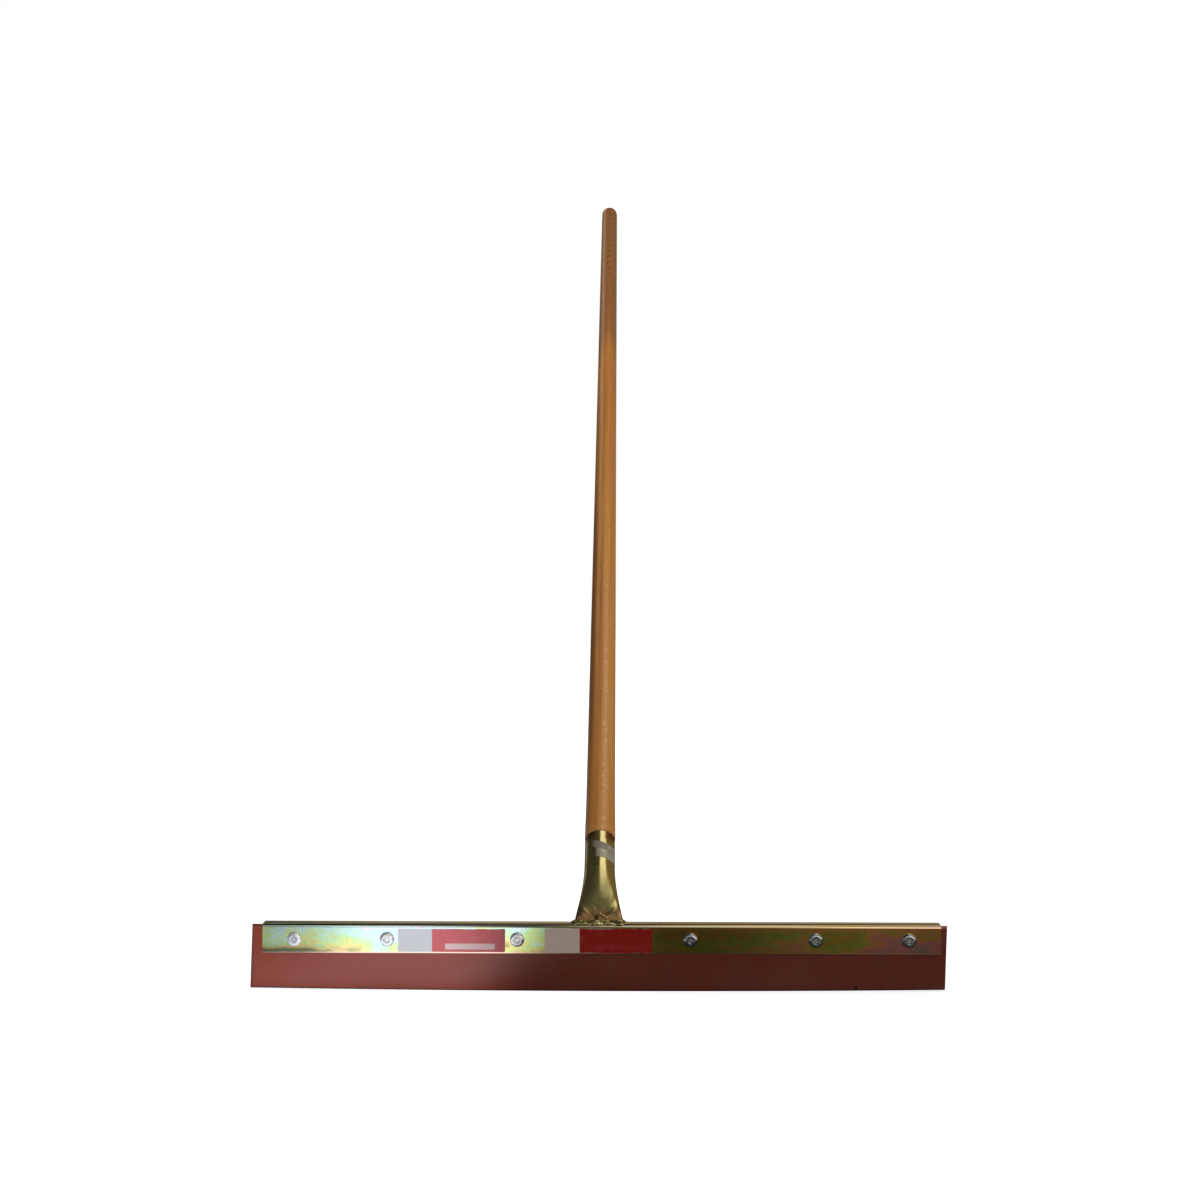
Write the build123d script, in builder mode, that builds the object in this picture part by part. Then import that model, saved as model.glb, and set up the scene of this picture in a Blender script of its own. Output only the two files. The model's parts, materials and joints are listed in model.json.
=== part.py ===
import os
from math import cos, pi, radians, sin, tan

from build123d import *

# Floor squeegee: a rubber blade riveted into a folded steel channel, with a pressed-flat tube
# socket welded on top that takes a push-fit timber handle.
# Millimetres. The origin is on the wiping edge, under the middle of the channel.
# +X runs along the blade, +Y goes back towards the user, +Z is up.

# Rubber blade
blade_length = 610.0
blade_thickness = 8.0
blade_drop = 33.6  # rubber that shows below the channel
blade_overhang = 7.5  # rubber past each end of the channel, before the shift
blade_shift = -2.0  # the strip sits a little off the channel's middle

# Folded channel
channel_height = 25.4
sheet = 2.0
fold_inside = 1.0  # inside radius of the two folds

# Blind rivets: front heads, set tails behind, broken-off pins left in the bore
rivet_diameter = 6.4
rivet_hole_clearance = 0.1
rivet_head_diameter = 12.7
rivet_head_height = 2.6
rivet_head_rim = 0.5  # straight edge under the dome
rivet_crown_diameter = 7.4  # flat at the top of the dome
rivet_mouth_diameter = 5.6  # bore opened out at the crown
rivet_mouth_depth = 0.9
rivet_tail_diameter = 9.6
rivet_tail_length = 5.0
rivet_tail_end_diameter = 6.6
rivet_tail_seat_diameter = 8.4
rivet_end_margin = 28.2  # from the channel's end to its last rivet
rivet_outer_pitch = 81.5
rivet_middle_pitch = 152.0
rivet_middle_shift = 2.5  # the middle pair sits a little to the right
rivet_rise = 12.0  # above the channel's lower edge
pin_diameter = 3.8
pin_clearance = 0.05
pin_recess = 0.7  # broken end below the rivet's crown
pin_head_diameter = 5.8
pin_head_height = 3.0
pin_head_edge = 1.2

# Handle socket: round tube pressed flat at the foot, which is mitred to lean back
socket_diameter = 28.0
socket_wall = 2.0
socket_shift = -2.0  # welded on a little to the left of the middle
socket_lean = 50.0  # degrees from upright
socket_round_length = 30.0
socket_press_length = 55.0  # from the flat foot to the full round
socket_flat_length = 5.0  # walls pressed together, along the tube's axis
press_stations = 6
bore_start = 0.06  # share of the pressed length below which the walls are closed up

# Weld round the foot
weld_leg = 2.4  # in front of and behind the foot
weld_end_leg = 4.0  # past each end of the foot
weld_rise = 3.0
weld_lap = 1.0  # runs down over the channel's folds
weld_bite = 0.5  # how far the bead's top goes into the foot before it is trimmed

# Timber handle
handle_length = 1524.0
handle_diameter = 28.0
shoulder_diameter = 28.9  # swells out over the socket's rim
swell_length = 55.0
spigot_clearance = 0.3
shoulder_clearance = 0.3
shoulder_chamfer = 0.8
lead_length = 28.0  # tapered end of the spigot
lead_tip_diameter = 12.0

# Sizes that follow
channel_length = blade_length - 2 * blade_overhang
channel_depth = blade_thickness + 2 * sheet
channel_bottom = blade_drop
channel_top = channel_bottom + channel_height
fold_outside = fold_inside + sheet
blade_height = channel_top - sheet - fold_inside
front_face = -channel_depth / 2
rear_face = channel_depth / 2

rivet_hole_radius = rivet_diameter / 2 + rivet_hole_clearance
rivet_z = channel_bottom + rivet_rise
rivet_outer_x = channel_length / 2 - rivet_end_margin
rivet_xs = [
    -rivet_outer_x,
    -rivet_outer_x + rivet_outer_pitch,
    rivet_middle_shift - rivet_middle_pitch / 2,
    rivet_middle_shift + rivet_middle_pitch / 2,
    rivet_outer_x - rivet_outer_pitch,
    rivet_outer_x,
]
rivet_planes = [Plane(origin=(x, front_face, rivet_z), z_dir=(0, -1, 0)) for x in rivet_xs]

# The tube's wall keeps its length round the section while it is pressed flat
wall_girth = pi * (socket_diameter - socket_wall)
foot_thickness = 2 * socket_wall


def pressed_width(depth):
    flat = (wall_girth - pi * (depth - socket_wall)) / 2
    return flat + depth


foot_width = pressed_width(foot_thickness)
lean = radians(socket_lean)
mitre_depth = foot_thickness / cos(lean)
mitre_run = foot_thickness * tan(lean)
axis_way = Vector(0, sin(lean), cos(lean))
foot_middle = Vector(socket_shift, 0, channel_top)
press_start = foot_middle + axis_way * socket_flat_length
round_start = press_start + axis_way * socket_press_length
mouth = round_start + axis_way * socket_round_length


def across_axis(origin):
    return Plane(origin=origin, x_dir=(1, 0, 0), z_dir=axis_way)


# Section of the pressed tube at a share of the pressed length, taken in by inset: two side
# arcs joined by two broad sides, which are straight at the foot and bow out above it
def pressed_section(share, inset):
    depth = foot_thickness + (socket_diameter - foot_thickness) * sin(share * pi / 2)
    width = pressed_width(depth)
    side_turn = pi / 2 - share * pi / 4  # half the angle of a side arc
    ratio = tan((pi / 2 - side_turn) / 2)
    side_radius = (depth / 2 - ratio * width / 2) / (1 - ratio) - inset
    half_width = width / 2 - inset
    half_depth = depth / 2 - inset
    join_x = half_width - side_radius * (1 - cos(side_turn))
    join_y = side_radius * sin(side_turn)
    with BuildSketch(across_axis(press_start + axis_way * (socket_press_length * share))) as section:
        with BuildLine():
            ThreePointArc((join_x, -join_y), (half_width, 0), (join_x, join_y))
            if share > 0:
                ThreePointArc((join_x, join_y), (0, half_depth), (-join_x, join_y))
                ThreePointArc((join_x, -join_y), (0, -half_depth), (-join_x, -join_y))
            else:
                Line((join_x, join_y), (-join_x, join_y))
                Line((join_x, -join_y), (-join_x, -join_y))
            ThreePointArc((-join_x, join_y), (-half_width, 0), (-join_x, -join_y))
        make_face()
    return section.sketch


os.makedirs("parts", exist_ok=True)

# Folded channel
with BuildPart() as frame_channel:
    with BuildSketch(Plane.YZ) as fold_outline:
        with Locations((0, channel_bottom)):
            Rectangle(channel_depth, channel_height, align=(Align.CENTER, Align.MIN))
        fillet(fold_outline.vertices().group_by(Axis.Y)[-1], fold_outside)
    extrude(amount=channel_length / 2, both=True)
    with BuildSketch(Plane.YZ) as blade_slot:
        with Locations((0, channel_bottom)):
            Rectangle(blade_thickness, channel_height - sheet, align=(Align.CENTER, Align.MIN))
        fillet(blade_slot.vertices().group_by(Axis.Y)[-1], fold_inside)
    extrude(amount=channel_length / 2, both=True, mode=Mode.SUBTRACT)
    with Locations(*rivet_planes):
        Hole(rivet_hole_radius)
frame_channel.part.label = "frame_channel"
export_step(frame_channel.part, "parts/frame_channel.step")

# Rubber strip, square cut, held by its upper half
with BuildPart() as rubber_blade:
    with BuildSketch(Plane.XY):
        with Locations((blade_shift, 0)):
            Rectangle(blade_length, blade_thickness)
    extrude(amount=blade_height)
    with Locations(*rivet_planes):
        Hole(rivet_hole_radius)
rubber_blade.part.label = "rubber_blade"
export_step(rubber_blade.part, "parts/rubber_blade.step")

# Socket: flat foot mitred to the channel's top, pressed part opening to the round tube
with BuildPart() as handle_socket:
    with BuildSketch(across_axis(press_start)):
        SlotOverall(foot_width, foot_thickness)
    extrude(amount=-(socket_flat_length + mitre_run))
    split(bisect_by=Plane.XY.offset(channel_top), keep=Keep.TOP)
    shares = [step / (press_stations - 1) for step in range(press_stations)]
    loft([pressed_section(share, 0) for share in shares])
    with BuildSketch(across_axis(round_start)):
        Circle(socket_diameter / 2)
    extrude(amount=socket_round_length)
    bore_shares = [bore_start] + shares[1:]
    loft([pressed_section(share, socket_wall) for share in bore_shares], mode=Mode.SUBTRACT)
    with BuildSketch(across_axis(round_start)):
        Circle(socket_diameter / 2 - socket_wall)
    extrude(amount=socket_round_length, mode=Mode.SUBTRACT)
handle_socket.part.label = "handle_socket"
export_step(handle_socket.part, "parts/handle_socket.step")

# Weld runs in front of and behind the foot: flat-faced fillets that follow the leaning tube up
# from the channel, trimmed to both and parted along the middle of the foot
foot_split = Plane(origin=foot_middle, x_dir=(1, 0, 0), z_dir=(0, -cos(lean), sin(lean)))
for name, side in (("weld_front", Keep.TOP), ("weld_rear", Keep.BOTTOM)):
    with BuildPart() as weld:
        with BuildSketch(Plane.XY.offset(channel_top)) as bead_foot:
            with Locations((socket_shift, 0)):
                SlotOverall(foot_width + 2 * weld_end_leg, mitre_depth + 2 * weld_leg)
        extrude(amount=-weld_lap)
        with BuildSketch(Plane.XY.offset(channel_top + weld_rise)) as bead_top:
            with Locations((socket_shift, weld_rise * tan(lean))):
                SlotOverall(foot_width - 2 * weld_bite, mitre_depth - 2 * weld_bite)
        loft([bead_foot.sketch, bead_top.sketch], ruled=True)
        add(frame_channel.part, mode=Mode.SUBTRACT)
        add(handle_socket.part, mode=Mode.SUBTRACT)
        split(bisect_by=foot_split, keep=side)
    weld.part.label = name
    export_step(weld.part, f"parts/{name}.step")

# Rivets, set from the front
rivet_radius = rivet_diameter / 2
pin_radius = pin_diameter / 2
crown_y = front_face - rivet_head_height
tail_y = rear_face + rivet_tail_length
for number, rivet_x in enumerate(rivet_xs, start=1):
    rivet_axis = Axis((rivet_x, 0, rivet_z), (0, 1, 0))
    rivet_plane = Plane(origin=(rivet_x, 0, rivet_z), x_dir=(1, 0, 0), z_dir=(0, 0, 1))

    with BuildPart() as rivet:
        with BuildSketch(rivet_plane):
            with BuildLine():
                Polyline(
                    (rivet_crown_diameter / 2, crown_y),
                    (rivet_mouth_diameter / 2, crown_y),
                    (pin_radius + pin_clearance, crown_y + rivet_mouth_depth),
                    (pin_radius + pin_clearance, tail_y),
                    (rivet_tail_end_diameter / 2, tail_y),
                )
                ThreePointArc(
                    (rivet_tail_end_diameter / 2, tail_y),
                    (rivet_tail_diameter / 2, rear_face + rivet_tail_length / 2),
                    (rivet_tail_seat_diameter / 2, rear_face),
                )
                Polyline(
                    (rivet_tail_seat_diameter / 2, rear_face),
                    (rivet_radius, rear_face),
                    (rivet_radius, front_face),
                    (rivet_head_diameter / 2, front_face),
                    (rivet_head_diameter / 2, front_face - rivet_head_rim),
                )
                TangentArc(
                    (rivet_crown_diameter / 2, crown_y),
                    (rivet_head_diameter / 2, front_face - rivet_head_rim),
                    tangent=(1, 0),
                )
            make_face()
        revolve(axis=rivet_axis)
    rivet.part.label = f"rivet_{number}"
    export_step(rivet.part, f"parts/rivet_{number}.step")

    with BuildPart() as rivet_pin:
        with BuildSketch(rivet_plane):
            with BuildLine():
                Polyline(
                    (0, tail_y + pin_head_height),
                    (0, crown_y + pin_recess),
                    (pin_radius, crown_y + pin_recess),
                    (pin_radius, tail_y),
                    (pin_head_diameter / 2, tail_y),
                    (pin_head_diameter / 2, tail_y + pin_head_edge),
                )
                TangentArc(
                    (0, tail_y + pin_head_height),
                    (pin_head_diameter / 2, tail_y + pin_head_edge),
                    tangent=(1, 0),
                )
            make_face()
        revolve(axis=rivet_axis)
    rivet_pin.part.label = f"rivet_pin_{number}"
    export_step(rivet_pin.part, f"parts/rivet_pin_{number}.step")

# Turned handle: shoulder on the socket's mouth, spigot in its round part, tapered lead below
handle_radius = handle_diameter / 2
shoulder_radius = shoulder_diameter / 2
spigot_radius = socket_diameter / 2 - socket_wall - spigot_clearance
spigot_foot = -socket_round_length
lead_foot = spigot_foot - lead_length
handle_top = lead_foot + handle_length
handle_plane = Plane(origin=mouth, x_dir=axis_way, z_dir=axis_way.cross(Vector(1, 0, 0)))
with BuildPart() as handle:
    with BuildSketch(handle_plane):
        with BuildLine():
            Polyline(
                (handle_top, 0),
                (lead_foot, 0),
                (lead_foot, lead_tip_diameter / 2),
                (spigot_foot, spigot_radius),
                (shoulder_clearance, spigot_radius),
                (shoulder_clearance, shoulder_radius - shoulder_chamfer),
                (shoulder_clearance + shoulder_chamfer, shoulder_radius),
                (swell_length, handle_radius),
                (handle_top - handle_radius, handle_radius),
            )
            TangentArc((handle_top - handle_radius, handle_radius), (handle_top, 0), tangent=(1, 0))
        make_face()
    revolve(axis=Axis(mouth, axis_way))
handle.part.label = "handle"
export_step(handle.part, "parts/handle.step")
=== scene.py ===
import json
import math
import random

import bpy
from mathutils import Matrix, Vector


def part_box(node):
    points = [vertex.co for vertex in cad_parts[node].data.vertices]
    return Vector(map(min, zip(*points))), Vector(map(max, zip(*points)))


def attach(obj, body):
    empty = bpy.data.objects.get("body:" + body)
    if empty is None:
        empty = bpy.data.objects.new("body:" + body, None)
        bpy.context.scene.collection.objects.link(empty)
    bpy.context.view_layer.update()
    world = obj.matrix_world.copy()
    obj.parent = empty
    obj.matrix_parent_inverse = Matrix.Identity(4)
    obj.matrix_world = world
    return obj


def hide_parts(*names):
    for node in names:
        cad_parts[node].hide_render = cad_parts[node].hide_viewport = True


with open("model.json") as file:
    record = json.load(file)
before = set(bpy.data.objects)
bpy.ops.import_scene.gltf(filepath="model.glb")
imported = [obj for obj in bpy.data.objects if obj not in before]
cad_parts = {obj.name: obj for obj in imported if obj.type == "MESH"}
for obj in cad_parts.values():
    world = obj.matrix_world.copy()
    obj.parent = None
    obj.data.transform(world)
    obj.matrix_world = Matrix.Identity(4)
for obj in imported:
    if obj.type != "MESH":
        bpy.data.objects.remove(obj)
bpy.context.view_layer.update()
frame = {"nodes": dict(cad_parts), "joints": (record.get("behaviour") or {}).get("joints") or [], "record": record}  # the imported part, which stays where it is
nodes = frame["nodes"]
mm = 0.001
touching = 0.1 * mm  # vertices nearer to a place than this count as being there

# Places that the pieces below are set out from
channelLow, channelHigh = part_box("frame_channel")
socketLow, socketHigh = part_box("handle_socket")
bladeLow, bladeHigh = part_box("rubber_blade")
handleAxis = Vector(frame["joints"][0]["axis"]).normalized()
gripMount = next(m for m in frame["record"]["mounts"] if m["name"] == "handle_grip")
gripHalf = gripMount["dims"]["length_mm"] * mm / 2
shoulderStep = 1.1 * mm  # clearance and chamfer below the plain round
mouth = Vector(gripMount["pos_m"]) - handleAxis * (gripHalf + shoulderStep)
handleLean = math.atan2(handleAxis.y, handleAxis.z)
footHalf = (socketHigh.x - socketLow.x) / 2
footMiddle = mouth - handleAxis * ((mouth.z - channelHigh.z) / handleAxis.z)
frontFace = channelLow.y
print("frame loaded:", len(nodes), "nodes")


# Small helpers for node trees: a value is set, a socket is linked
def give(tree, target, value):
    if isinstance(value, bpy.types.NodeSocket):
        tree.links.new(value, target)
    else:
        target.default_value = value


def addNode(tree, kind, inputs=None, **settings):
    made = tree.nodes.new("ShaderNode" + kind)
    for name, value in settings.items():
        setattr(made, name, value)
    for name, value in (inputs or {}).items():
        give(tree, made.inputs[name], value)
    return made


def calc(tree, operation, result, *others):
    for other in others or (0.0,):
        result = addNode(tree, "Math", {0: result, 1: other}, operation=operation).outputs[0]
    return result


def times(tree, *values):
    return calc(tree, "MULTIPLY", *values)


# A value pushed up and down by a pattern whose middle is 0.5
def swayed(tree, value, pattern, amount):
    return calc(tree, "ADD", value, times(tree, calc(tree, "SUBTRACT", pattern, 0.5), amount))


def distanceTo(tree, x, z, spot):
    aside = calc(tree, "POWER", calc(tree, "SUBTRACT", x, spot[0]), 2.0)
    above = calc(tree, "POWER", calc(tree, "SUBTRACT", z, spot[1]), 2.0)
    return calc(tree, "SQRT", calc(tree, "ADD", aside, above))


def between(tree, value, low, high, start=0.0, end=1.0, way="SMOOTHSTEP"):
    inputs = {0: value, 1: low, 2: high, 3: start, 4: end}
    return addNode(tree, "MapRange", inputs, interpolation_type=way).outputs[0]


# Fades in over the first two places and, where there are four, out again over the last two
def within(tree, value, places):
    mask = between(tree, value, *places[:2])
    if len(places) == 4:
        mask = times(tree, mask, between(tree, value, places[3], places[2]))
    return mask


def noiseOf(tree, vector, scale, detail, rough, twist=0.0, turn=(0, 0, 0)):
    if isinstance(scale, tuple):
        inputs = {"Vector": vector, "Scale": scale, "Rotation": turn}
        vector, scale = addNode(tree, "Mapping", inputs).outputs[0], 1.0
    inputs = {"Vector": vector, "Scale": scale, "Detail": detail, "Roughness": rough, "Distortion": twist}
    return addNode(tree, "TexNoise", inputs).outputs[0]


def greys(*stops):
    return [(place, (tone,) * 3) for place, tone in stops]


def rampOf(tree, value, stops):
    made = addNode(tree, "ValToRGB", {0: value})
    elements = made.color_ramp.elements
    while len(elements) < len(stops):
        elements.new(1.0)
    for element, (place, colour) in zip(elements, stops):
        element.position = place
        element.color = (*colour, 1.0)
    return made.outputs[0]


def blendOf(tree, share, first, second, way="MIX"):
    made = addNode(tree, "Mix", {0: share}, data_type="RGBA", blend_type=way)
    for place, value in ((6, first), (7, second)):
        give(tree, made.inputs[place], (*value, 1.0) if isinstance(value, tuple) else value)
    return made.outputs[2]


def axesOf(tree, vector, names="XYZ"):
    outputs = addNode(tree, "SeparateXYZ", {0: vector}).outputs
    return [outputs[name] for name in names]


def bumpOf(tree, height, strength, distance):
    inputs = {"Height": height, "Strength": strength, "Distance": distance}
    return addNode(tree, "Bump", inputs).outputs[0]


def newGroup(name, inputs, outputs):
    group = bpy.data.node_groups.new(name, "ShaderNodeTree")
    for label, kind, value in inputs:
        made = group.interface.new_socket(label, in_out="INPUT", socket_type="NodeSocket" + kind)
        if value is not None:
            made.default_value = value
    for label, kind in outputs:
        group.interface.new_socket(label, in_out="OUTPUT", socket_type="NodeSocket" + kind)
    return group, group.nodes.new("NodeGroupInput").outputs, group.nodes.new("NodeGroupOutput").inputs


def useGroup(tree, group, inputs):
    return addNode(tree, "Group", inputs, node_tree=group).outputs


def newMaterial(name, **constants):
    material = bpy.data.materials.new(name)
    material.use_nodes = True
    tree = material.node_tree
    shader = tree.nodes["Principled BSDF"]
    for label, value in constants.items():
        shader.inputs[label].default_value = value
    place = addNode(tree, "TexCoord").outputs["Object"]
    return material, tree, shader, place


def feed(tree, shader, **sockets):
    for label, socket in sockets.items():
        tree.links.new(socket, shader.inputs[label.replace("_", " ")])


# Plating film: colours that follow its thickness, in soft patches with a fine grain
filmLook = {
    "broadScale": (24, 60, 62), "smallScale": (64, 160, 150), "grainScale": (520, 700, 700),
    "lineScale": (18, 900, 1100), "deepShares": (0.66, 0.26, 0.12, 0.10), "paleShares": (0.54, 0.52, 0.17, 0.05),
    "deep": [
        (0.28, (0.34, 0.32, 0.09)), (0.38, (0.60, 0.36, 0.08)), (0.46, (0.58, 0.40, 0.07)),
        (0.52, (0.35, 0.46, 0.10)), (0.58, (0.52, 0.48, 0.09)), (0.65, (0.74, 0.40, 0.13)),
        (0.75, (0.72, 0.28, 0.28)), (0.87, (0.48, 0.32, 0.30)),
    ],
    "pale": [
        (0.18, (0.95, 0.72, 0.88)), (0.25, (0.66, 0.80, 0.98)), (0.33, (0.63, 0.92, 0.90)),
        (0.41, (0.62, 0.92, 0.62)), (0.49, (0.66, 0.86, 0.40)), (0.56, (0.84, 0.82, 0.33)),
        (0.62, (0.84, 0.64, 0.36)), (0.67, (0.50, 0.52, 0.22)), (0.76, (0.26, 0.34, 0.16)),
    ],
}


def makeFilmGroup(look):
    group, given, put = newGroup(
        "platingFilm",
        [("Vector", "Vector", None), ("Thickness", "Float", 0.5), ("Pale", "Float", 0.0)],
        [("Color", "Color"), ("Cloud", "Float"), ("Lines", "Float")],
    )
    broad = noiseOf(group, given["Vector"], look["broadScale"], 3, 0.5, 0.7, (0, 0.3, 0))
    small = noiseOf(group, given["Vector"], look["smallScale"], 3, 0.55, 0.6, (0, -0.2, 0))
    grain = noiseOf(group, given["Vector"], look["grainScale"], 2, 0.6)
    lines = noiseOf(group, given["Vector"], look["lineScale"], 2, 0.6)

    def filmOf(shares):
        film = given["Thickness"]
        for pattern, share in zip((broad, small, grain, lines), shares):
            film = swayed(group, film, pattern, share)
        return film

    deep = rampOf(group, filmOf(look["deepShares"]), look["deep"])
    pale = rampOf(group, filmOf(look["paleShares"]), look["pale"])
    colour = blendOf(group, given["Pale"], deep, pale)
    shade = between(group, grain, 0.30, 0.70, 0.80, 1.0, "LINEAR")
    colour = blendOf(group, 1.0, colour, shade, "MULTIPLY")
    group.links.new(colour, put["Color"])
    group.links.new(small, put["Cloud"])
    group.links.new(lines, put["Lines"])
    return group


# Handling marks: a thin scatter of scratches and a soft dusty cloud
marksLook = {"acrossScale": (40, 400, 1400), "alongScale": (60, 500, 1700), "dustScale": (60, 60, 60)}


def makeMarksGroup(look):
    group, given, put = newGroup(
        "handlingMarks",
        [("Vector", "Vector", None), ("Fineness", "Float", 1.0)],
        [("Scratch", "Float"), ("Dust", "Float")],
    )
    inputs = {0: given["Vector"], 3: given["Fineness"]}
    sized = addNode(group, "VectorMath", inputs, operation="SCALE").outputs[0]
    across = noiseOf(group, sized, look["acrossScale"], 2, 0.6, turn=(0, 0.5, 0))
    along = noiseOf(group, sized, look["alongScale"], 2, 0.6, turn=(0, -0.25, 0))
    cut = calc(group, "MAXIMUM", between(group, across, 0.66, 0.74), between(group, along, 0.68, 0.76))
    group.links.new(cut, put["Scratch"])
    dust = noiseOf(group, sized, look["dustScale"], 5, 0.65, 0.5)
    group.links.new(between(group, dust, 0.42, 0.72), put["Dust"])
    return group


platingFilm = makeFilmGroup(filmLook)
handlingMarks = makeMarksGroup(marksLook)
print("node groups made")

# Folded channel: yellow-passivated zinc, pale at one end and olive at the other; the paler left end is partly
# painted light
# Places named At are parts of the bend's height, counted down from the top
channelLook = {
    "span": 300 * mm, "bend": 3.0 * mm, "bow": 0.55 * mm,
    "film": greys(
        (0.0, 0.36), (0.07, 0.37), (0.17, 0.28), (0.42, 0.36), (0.58, 0.39),
        (0.72, 0.40), (0.80, 0.50), (0.86, 0.46), (0.92, 0.60), (1.0, 0.66),
    ),
    "pale": greys((0.0, 0.86), (0.12, 1.0), (0.40, 1.0), (0.60, 0.0)),
    "filmFall": 0.24, "lowLeftFilm": 0.26, "lowLeftLength": (0.12, 0.05), "lowLeftHeight": (0.70, 0.96),
    "edgeWidth": 1.3 * mm, "edgePale": (0.95, 0.66, 0.56), "edgeDeep": (0.74, 0.46, 0.26),
    "underAt": (2.8, 1.2), "underShare": 0.75, "underBend": (0.72, 0.38, 0.13),
    "lowAt": (0.86, 0.76), "lowShare": 0.9,
    "bendLow": [
        (0.0, (0.60, 0.80, 0.68)), (0.10, (0.74, 0.98, 0.86)), (0.22, (0.72, 0.84, 0.75)),
        (0.31, (0.78, 0.75, 0.66)), (0.36, (0.36, 0.37, 0.27)), (0.40, (0.12, 0.13, 0.07)),
        (0.47, (0.26, 0.22, 0.12)), (0.62, (0.30, 0.24, 0.11)), (0.76, (0.46, 0.34, 0.16)),
        (0.86, (0.80, 0.63, 0.35)), (0.95, (0.62, 0.50, 0.34)),
    ],
    "highAt": (0.56, 0.44),
    "bendHigh": [
        (0.0, (0.28, 0.33, 0.27)), (0.25, (0.28, 0.30, 0.28)), (0.40, (0.34, 0.32, 0.24)),
        (0.47, (0.72, 0.65, 0.44)), (0.58, (0.97, 0.89, 0.64)), (0.75, (0.97, 0.84, 0.52)),
        (0.86, (0.70, 0.54, 0.31)), (1.0, (0.54, 0.43, 0.31)),
    ],
    "crestAt": (0.18, 0.10),
    "crest": [
        (0.10, (0.27, 0.32, 0.26)), (0.22, (0.58, 0.59, 0.56)), (0.36, (0.62, 0.62, 0.50)),
        (0.48, (0.42, 0.36, 0.22)), (0.58, (0.22, 0.165, 0.085)),
    ],
    "paintedLineAt": (0.54, 0.46, 0.26, 0.18), "paintedLineLength": (0.44, 0.50, 0.76, 0.90), "paintedLineShare": 0.9,
    "topAt": (0.04, 0.0), "topLeft": (0.80, 0.76, 0.70), "topRight": (0.62, 0.52, 0.38),
    "topFadeLeft": 4 * mm, "topFadeRight": 1 * mm, "drawnAt": (1.0, 1.3), "scratchColour": (0.80, 0.80, 0.74),
}


def makeChannelFinish(look):
    material, tree, shader, place = newMaterial("channelZinc")
    x, y, z = axesOf(tree, place)
    low, high = channelLow.z, channelHigh.z

    def atBend(value, name):
        return within(tree, value, [high - look["bend"] * share for share in look[name]])

    length = between(tree, x, -look["span"], look["span"], way="LINEAR")
    height = between(tree, z, low, high - look["bend"], 1.0, 0.0, "LINEAR")
    film = rampOf(tree, length, look["film"])
    # the film is made thicker, and so a darker olive green, in the lower left corner
    lowLeftThicker = times(
        tree, within(tree, length, look["lowLeftLength"]), within(tree, height, look["lowLeftHeight"]), look["lowLeftFilm"],
    )
    film = calc(tree, "ADD", film, times(tree, height, look["filmFall"]), lowLeftThicker)
    # paler plating colours towards the left end, partly the plating's own and partly painted light
    pale = rampOf(tree, length, look["pale"])
    plate = useGroup(tree, platingFilm, {"Vector": place, "Thickness": film, "Pale": pale})
    marks = useGroup(tree, handlingMarks, {"Vector": place, "Fineness": 1.0})
    # a pale line along the bottom edge: a painted highlight on its rounded edge
    edge = between(tree, z, low + look["edgeWidth"], low + look["edgeWidth"] * 0.3)
    edgeColour = blendOf(tree, pale, look["edgeDeep"], look["edgePale"])
    colour = blendOf(tree, edge, plate["Color"], edgeColour)
    # brown under the bend; two lines along it and a dark crest that are partly painted highlight and reflection;
    # paler again back on the flat top
    share = calc(tree, "DIVIDE", x, look["span"])
    dip = times(tree, calc(tree, "SUBTRACT", 1.0, times(tree, share, share)), look["bow"])
    fold = calc(tree, "ADD", z, dip)  # the lines sit lower towards the middle
    under = times(tree, atBend(fold, "underAt"), look["underShare"], calc(tree, "SUBTRACT", 1.0, pale))
    colour = blendOf(tree, under, colour, look["underBend"])
    lower = times(tree, atBend(fold, "lowAt"), look["lowShare"])
    colour = blendOf(tree, lower, colour, rampOf(tree, length, look["bendLow"]))
    upper = atBend(fold, "highAt")
    colour = blendOf(tree, upper, colour, rampOf(tree, length, look["bendHigh"]))
    crest = atBend(fold, "crestAt")
    colour = blendOf(tree, crest, colour, rampOf(tree, length, look["crest"]))
    front = frontFace + look["bend"]
    fadeRight = between(tree, y, front, front + look["topFadeRight"])
    fadeLeft = between(tree, y, front, front + look["topFadeLeft"])
    flat = blendOf(tree, pale, fadeRight, fadeLeft)
    top = times(tree, atBend(z, "topAt"), flat)
    colour = blendOf(tree, top, colour, blendOf(tree, pale, look["topRight"], look["topLeft"]))
    colour = blendOf(tree, times(tree, marks["Scratch"], 0.2), colour, look["scratchColour"])
    rough = between(tree, plate["Cloud"], 0.3, 0.7, 0.10, 0.15)
    rough = calc(tree, "ADD", rough, times(tree, marks["Dust"], 0.04))
    # over the right half the upper line is made non-metal, so its bright colour shows as a painted highlight
    paintedLine = times(
        tree, atBend(fold, "paintedLineAt"), within(tree, length, look["paintedLineLength"]), look["paintedLineShare"],
    )
    metal = calc(tree, "SUBTRACT", 1.0, paintedLine)
    drawn = times(tree, plate["Lines"], atBend(z, "drawnAt"))
    normal = bumpOf(tree, drawn, 0.05, 0.0002)
    feed(tree, shader, Base_Color=colour, Metallic=metal, Roughness=rough, Normal=normal)
    return material


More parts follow.
